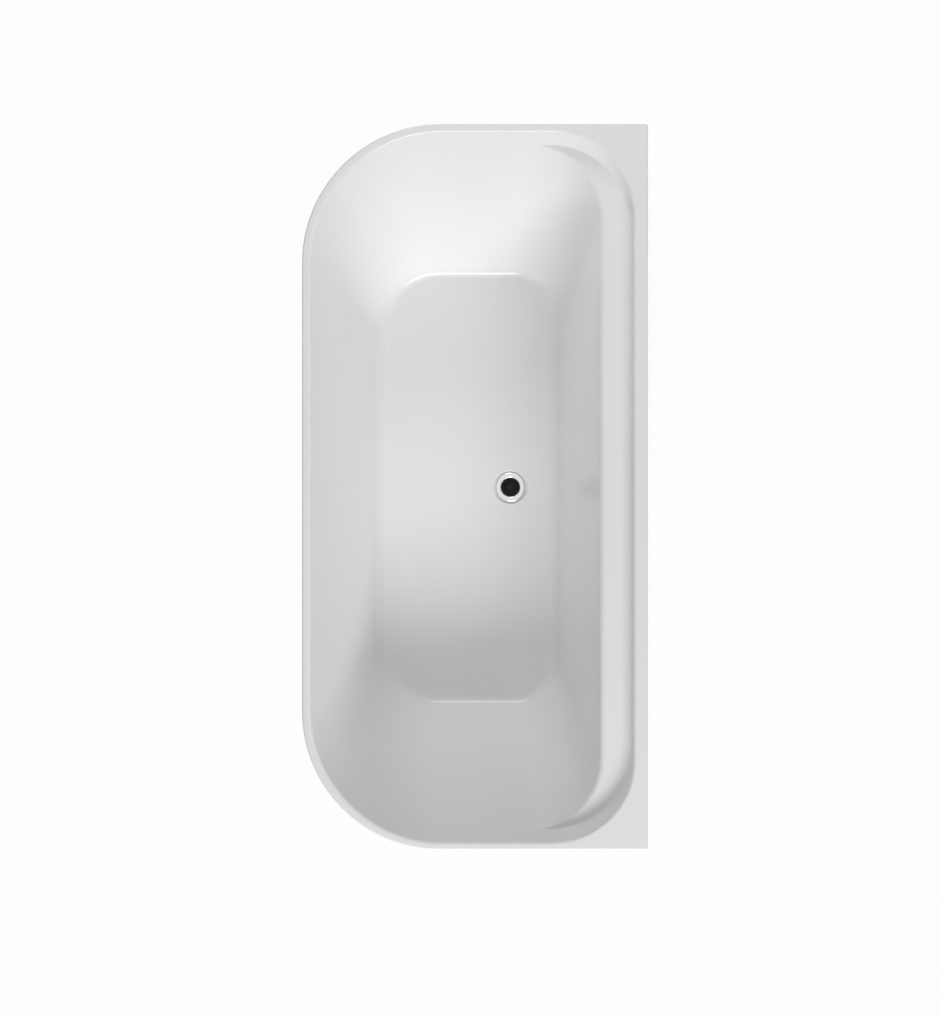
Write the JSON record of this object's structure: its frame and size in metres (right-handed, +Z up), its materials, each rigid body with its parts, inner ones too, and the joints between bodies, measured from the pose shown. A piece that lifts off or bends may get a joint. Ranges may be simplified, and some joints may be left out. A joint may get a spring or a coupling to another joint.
{
  "type": "back-to-wall freestanding bathtub",
  "caption": "Back-to-wall bathtub with a curved front skirt, square wall corners, a shelf along the wall side, a push-plug waste, trap, steel cradle and levelling feet.",
  "frame": {"origin": "on the floor under the middle of the bath's bounding box", "axes": "+X along the bath, to the right as seen from the open front; +Y from the front to the wall; +Z up"},
  "size_m": [1.7, 0.81, 0.58],
  "materials": {
    "acrylic_shell": "gloss, glass-fibre backed",
    "acrylic_skirt": "gloss, glass-fibre backed",
    "board": "raw particle board",
    "galvanised": "galvanised",
    "zinc": "zinc plated",
    "black_plastic": "moulded",
    "plug_black": "matt black",
    "flange_chrome": "polished",
    "brass_core": "machined",
    "rubber_seal": "matt",
    "spring_steel": "drawn wire",
    "trap_plastic": "moulded"
  },
  "bodies": {
    "root": {"bath_shell": "acrylic_shell", "outer_skirt": "acrylic_skirt", "base_board": "board", "frame_rail_front": "galvanised", "frame_rail_back": "galvanised", "cross_rail_left": "galvanised", "cross_rail_middle": "galvanised", "cross_rail_right": "galvanised", "rail_end_caps": "black_plastic", "cradle_screws": "zinc", "bracket_screws": "zinc", "skirt_screws": "zinc", "skirt_bracket_left_front": "galvanised", "skirt_bracket_left_back": "galvanised", "skirt_bracket_right_front": "galvanised", "skirt_bracket_right_back": "galvanised", "skirt_bracket_front_left": "galvanised", "skirt_bracket_front_right": "galvanised", "wall_bracket_left": "galvanised", "wall_bracket_right": "galvanised", "weld_nuts": "zinc", "lock_nuts": "zinc", "waste_flange": "flange_chrome", "flange_gasket": "rubber_seal", "waste_gasket": "rubber_seal", "backnut_washer": "trap_plastic", "waste_backnut": "brass_core", "clicker_body": "brass_core", "plug_spring": "spring_steel", "trap_seal": "rubber_seal", "trap_nut": "trap_plastic", "trap_body": "trap_plastic", "trap_cup": "trap_plastic", "trap_cup_seal": "rubber_seal", "outlet_pipe": "trap_plastic", "outlet_seal": "rubber_seal", "outlet_nut": "trap_plastic"},
    "plug": {"plug_cap": "plug_black", "plug_seal": "rubber_seal", "plug_stem": "brass_core"},
    "pad_1": {"foot_pad_1": "black_plastic"},
    "spindle_1": {"foot_spindle_1": "zinc"},
    "pad_2": {"foot_pad_2": "black_plastic"},
    "spindle_2": {"foot_spindle_2": "zinc"},
    "pad_3": {"foot_pad_3": "black_plastic"},
    "spindle_3": {"foot_spindle_3": "zinc"},
    "pad_4": {"foot_pad_4": "black_plastic"},
    "spindle_4": {"foot_spindle_4": "zinc"},
    "pad_5": {"foot_pad_5": "black_plastic"},
    "spindle_5": {"foot_spindle_5": "zinc"}
  },
  "joints": [
    {"name": "plug_lift", "type": "slide", "parent": "root", "child": "plug", "axis": [0, 0, 1], "range_m": [0, 0.009], "deforming": ["plug_spring"]},
    {"name": "foot_1_height", "type": "slide", "parent": "root", "child": "pad_1", "axis": [0, 0, -1], "range_m": [-0.004, 0.015]},
    {"name": "foot_1_turn", "type": "hinge", "parent": "pad_1", "child": "spindle_1", "pos_m": [-0.40058, -0.28, 0], "axis": [0, 0, -1], "range_deg": [-830, 3090]},
    {"name": "foot_2_height", "type": "slide", "parent": "root", "child": "pad_2", "axis": [0, 0, -1], "range_m": [-0.004, 0.015]},
    {"name": "foot_2_turn", "type": "hinge", "parent": "pad_2", "child": "spindle_2", "pos_m": [-0.40058, 0.156, 0], "axis": [0, 0, -1], "range_deg": [-830, 3090]},
    {"name": "foot_3_height", "type": "slide", "parent": "root", "child": "pad_3", "axis": [0, 0, -1], "range_m": [-0.004, 0.015]},
    {"name": "foot_3_turn", "type": "hinge", "parent": "pad_3", "child": "spindle_3", "pos_m": [0.40058, -0.28, 0], "axis": [0, 0, -1], "range_deg": [-830, 3090]},
    {"name": "foot_4_height", "type": "slide", "parent": "root", "child": "pad_4", "axis": [0, 0, -1], "range_m": [-0.004, 0.015]},
    {"name": "foot_4_turn", "type": "hinge", "parent": "pad_4", "child": "spindle_4", "pos_m": [0.40058, 0.156, 0], "axis": [0, 0, -1], "range_deg": [-830, 3090]},
    {"name": "foot_5_height", "type": "slide", "parent": "root", "child": "pad_5", "axis": [0, 0, -1], "range_m": [-0.004, 0.015]},
    {"name": "foot_5_turn", "type": "hinge", "parent": "pad_5", "child": "spindle_5", "pos_m": [-0.11, -0.01839, 0], "axis": [0, 0, -1], "range_deg": [-830, 3090]}
  ],
  "couplings": [
    {"joint": "foot_1_turn", "follows": "foot_1_height", "rad_per_m": 3590.4},
    {"joint": "foot_2_turn", "follows": "foot_2_height", "rad_per_m": 3590.4},
    {"joint": "foot_3_turn", "follows": "foot_3_height", "rad_per_m": 3590.4},
    {"joint": "foot_4_turn", "follows": "foot_4_height", "rad_per_m": 3590.4},
    {"joint": "foot_5_turn", "follows": "foot_5_height", "rad_per_m": 3590.4}
  ]
}
